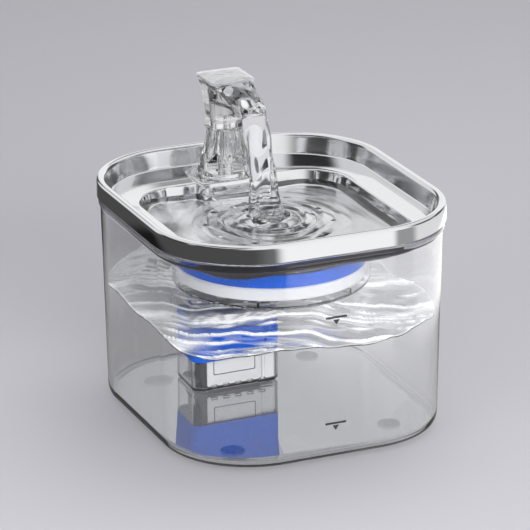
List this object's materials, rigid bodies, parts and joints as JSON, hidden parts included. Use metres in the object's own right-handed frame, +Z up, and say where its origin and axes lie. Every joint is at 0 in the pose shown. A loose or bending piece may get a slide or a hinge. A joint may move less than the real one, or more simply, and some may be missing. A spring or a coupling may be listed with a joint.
{
  "type": "pet water fountain",
  "caption": "Free-standing pet water fountain: clear tank, lift-off steel drinking tray with a clear spout, twist-off filter cup and a foam-wrapped pump.",
  "frame": {"origin": "centre of the underside, on the plane of the four feet", "axes": "+Z up, +X to the right seen from the front, -Y towards the front wall with the level marks, so the spout is towards +Y"},
  "size_m": [0.18, 0.198, 0.19],
  "materials": {
    "clear_plastic": "polished clear, moulded",
    "clear_cup": "clear, moulded",
    "clear_pad": "clear silicone",
    "mark_ink": "printed",
    "dark_rubber": "matt",
    "steel": "mirror polished, lightly brushed skirt",
    "white_silicone": "satin silicone",
    "white_plastic": "smooth moulded",
    "spout_clear": "polished clear",
    "blue_foam": "open-cell foam",
    "cotton": "felted",
    "carbon": "granular",
    "core_steel": "laminated",
    "copper_wire": "enamelled wire",
    "resin": "cast resin",
    "grey_plastic": "moulded",
    "clear_hose": "clear silicone tube",
    "ceramic": "ground ceramic",
    "ferrite": "sintered magnet"
  },
  "bodies": {
    "tank": {"tank": "clear_plastic", "feet": "clear_pad", "level_marks": "mark_ink", "cord_grommet": "dark_rubber", "pump_case": "clear_cup", "pump_hood": "clear_cup", "foam_block": "blue_foam", "suction_cups": "clear_pad", "pump_body": "white_plastic", "stator_core": "core_steel", "stator_coil": "copper_wire", "potting": "resin", "chamber_cover": "white_plastic", "chamber_seal": "dark_rubber", "intake_cover": "white_plastic", "outlet_nozzle": "white_plastic", "riser_hose": "clear_hose", "cable_gland": "dark_rubber", "pump_shaft": "ceramic", "shaft_bushes": "dark_rubber"},
    "tray": {"tray": "steel", "tray_gasket": "white_silicone", "cup_collar": "white_plastic", "spout_grommet": "white_silicone"},
    "spout": {"spout_base": "spout_clear", "spout_head": "spout_clear", "spout_cap": "spout_clear", "spout_oring": "dark_rubber"},
    "filter_cup": {"filter_cup": "clear_cup", "filter_foam": "blue_foam", "filter_cotton": "cotton", "filter_carbon": "carbon"},
    "rotor": {"impeller": "white_plastic", "rotor_magnet": "ferrite"},
    "flow_slider": {"flow_slider": "grey_plastic"}
  },
  "joints": [
    {"name": "tray_lift", "type": "slide", "parent": "tank", "child": "tray", "axis": [0, 0, 1], "range_m": [0, 0.1]},
    {"name": "spout_lift", "type": "slide", "parent": "tray", "child": "spout", "axis": [0, 0, 1], "range_m": [0, 0.035]},
    {"name": "cup_twist", "type": "hinge", "parent": "tray", "child": "filter_cup", "pos_m": [0, 0, 0.0968], "axis": [0, 0, 1], "range_deg": [0, 30]},
    {"name": "impeller_spin", "type": "hinge", "parent": "tank", "child": "rotor", "pos_m": [0, 0.0435, 0.0208], "axis": [1, 0, 0], "continuous": true},
    {"name": "flow_slide", "type": "slide", "parent": "tank", "child": "flow_slider", "axis": [0, 1, 0], "range_m": [-0.004, 0.004]}
  ]
}
